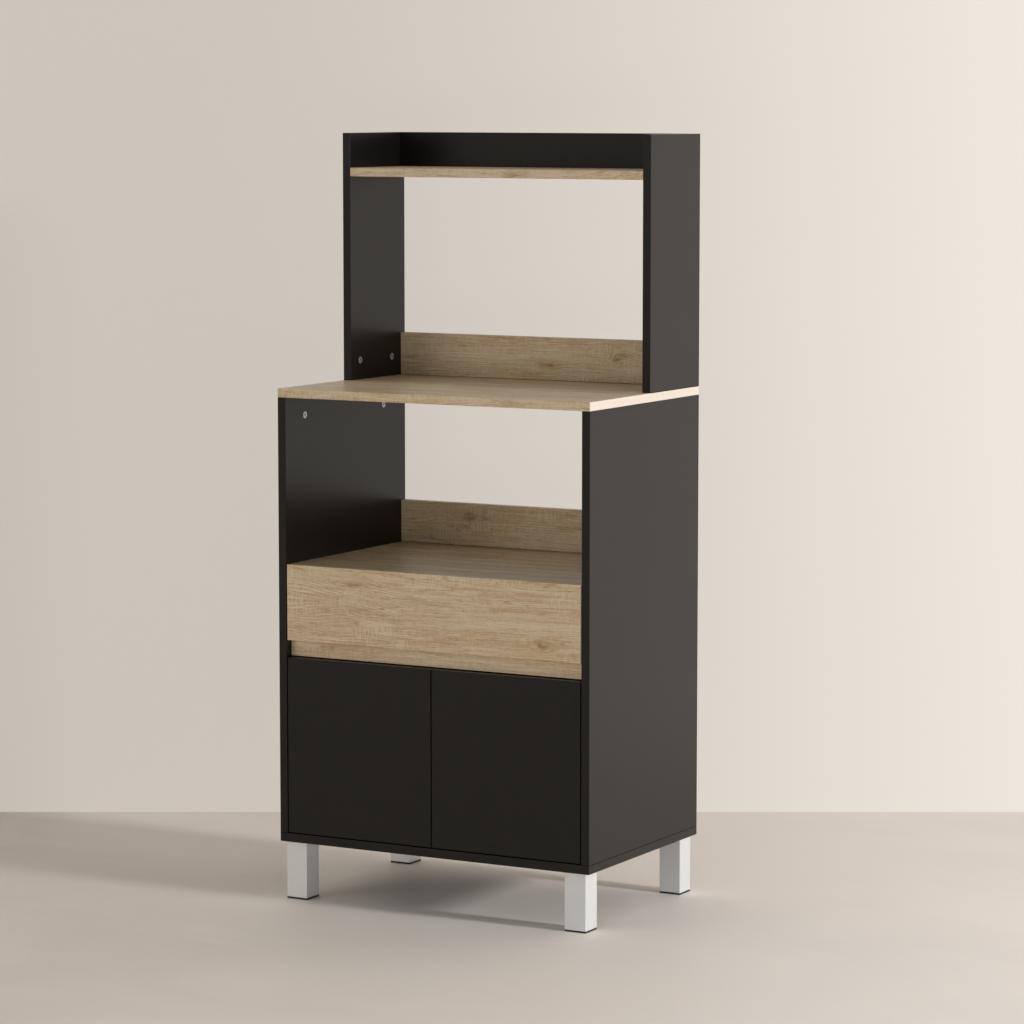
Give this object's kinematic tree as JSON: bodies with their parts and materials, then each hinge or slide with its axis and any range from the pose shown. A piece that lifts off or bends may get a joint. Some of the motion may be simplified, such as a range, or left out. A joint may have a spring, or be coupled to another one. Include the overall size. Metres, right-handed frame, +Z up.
{
  "type": "microwave stand",
  "caption": "Tall kitchen stand on square metal legs, with a cupboard, a drawer, an open microwave bay, an oak worktop and an open hutch.",
  "frame": {"origin": "on the floor, under the middle of the stand", "axes": "+Z up, +X to the right seen from the front, +Y to the rear; the doors and the drawer front are at -Y"},
  "size_m": [0.6, 0.4, 1.31],
  "materials": {
    "black_foil_board": "chipboard in matt black foil with a fine wood grain in relief",
    "oak_foil_board": "chipboard in matt greyish oak foil, grain along the length",
    "silver_tube": "satin silver lacquer on square steel tube",
    "black_plastic": "moulded, fine texture",
    "beech": "turned and fluted dowel",
    "fibreboard": "bare hardboard, smooth on one side",
    "runner_steel": "white epoxy on rolled steel",
    "white_nylon": "moulded nylon",
    "plated_screws": "zinc plated",
    "zinc_casting": "bare zinc die casting",
    "nickel_plate": "nickel plated pressed steel"
  },
  "bodies": {
    "carcass": {"side_panel_left": "black_foil_board", "side_panel_right": "black_foil_board", "bottom_panel": "black_foil_board", "worktop": "oak_foil_board", "microwave_shelf": "oak_foil_board", "microwave_rear_rail": "oak_foil_board", "grip_rail": "oak_foil_board", "back_panel": "fibreboard", "hutch_side_left": "black_foil_board", "hutch_side_right": "black_foil_board", "hutch_shelf": "oak_foil_board", "hutch_top_rail": "black_foil_board", "hutch_rear_rail": "oak_foil_board", "leg_front_left": "silver_tube", "leg_front_right": "silver_tube", "leg_rear_left": "silver_tube", "leg_rear_right": "silver_tube", "leg_plugs": "black_plastic", "leg_bolts": "plated_screws", "foot_pads": "black_plastic", "case_cam_locks": "zinc_casting", "case_cam_bolts": "zinc_casting", "case_dowels": "beech", "hutch_cam_locks": "zinc_casting", "hutch_cam_bolts": "zinc_casting", "hutch_dowels": "beech", "case_runner_left": "runner_steel", "case_runner_right": "runner_steel", "case_runner_screws": "plated_screws", "front_roller_rivets": "plated_screws", "hinge_plates": "nickel_plate", "hinge_plate_screws": "plated_screws", "hinge_arms": "nickel_plate", "hinge_arm_pins": "nickel_plate", "hinge_clamp_screws": "plated_screws"},
    "drawer": {"drawer_front": "oak_foil_board", "drawer_side_left": "black_foil_board", "drawer_side_right": "black_foil_board", "drawer_back": "black_foil_board", "drawer_bottom": "black_foil_board", "drawer_runner_left": "runner_steel", "drawer_runner_right": "runner_steel", "drawer_runner_screws": "plated_screws", "drawer_cam_locks": "zinc_casting", "drawer_cam_bolts": "zinc_casting", "drawer_dowels": "beech", "rear_roller_rivets": "plated_screws"},
    "front_rollers": {"front_rollers": "white_nylon"},
    "rear_rollers": {"rear_rollers": "white_nylon"},
    "hinge_links_left": {"hinge_links_left": "nickel_plate"},
    "hinge_links_right": {"hinge_links_right": "nickel_plate"},
    "door_left": {"door_left": "black_foil_board", "hinge_cups_left": "nickel_plate", "hinge_cup_screws_left": "plated_screws", "hinge_cup_pins_left": "nickel_plate"},
    "door_right": {"door_right": "black_foil_board", "hinge_cups_right": "nickel_plate", "hinge_cup_screws_right": "plated_screws", "hinge_cup_pins_right": "nickel_plate"}
  },
  "joints": [
    {"name": "drawer_slide", "type": "slide", "parent": "carcass", "child": "drawer", "axis": [0, -1, 0], "range_m": [0, 0.26]},
    {"name": "front_rollers_turn", "type": "hinge", "parent": "carcass", "child": "front_rollers", "pos_m": [0, -0.164, 0.4675], "axis": [1, 0, 0], "continuous": true},
    {"name": "rear_rollers_turn", "type": "hinge", "parent": "drawer", "child": "rear_rollers", "pos_m": [0, 0.15, 0.4675], "axis": [1, 0, 0], "continuous": true},
    {"name": "hinge_links_left_swing", "type": "hinge", "parent": "carcass", "child": "hinge_links_left", "pos_m": [-0.259, -0.178, 0.2685], "axis": [0, 0, 1], "range_deg": [0, 35]},
    {"name": "door_left_swing", "type": "hinge", "parent": "hinge_links_left", "child": "door_left", "pos_m": [-0.2715, -0.1905, 0.2685], "axis": [0, 0, -1], "range_deg": [0, 130]},
    {"name": "hinge_links_right_swing", "type": "hinge", "parent": "carcass", "child": "hinge_links_right", "pos_m": [0.259, -0.178, 0.2685], "axis": [0, 0, -1], "range_deg": [0, 35]},
    {"name": "door_right_swing", "type": "hinge", "parent": "hinge_links_right", "child": "door_right", "pos_m": [0.2715, -0.1905, 0.2685], "axis": [0, 0, 1], "range_deg": [0, 130]}
  ],
  "couplings": [
    {"joint": "front_rollers_turn", "follows": "drawer_slide", "rad_per_m": 90.909},
    {"joint": "rear_rollers_turn", "follows": "drawer_slide", "rad_per_m": 90.909},
    {"joint": "hinge_links_left_swing", "follows": "door_left_swing", "ratio": 0.26923},
    {"joint": "hinge_links_right_swing", "follows": "door_right_swing", "ratio": 0.26923}
  ]
}
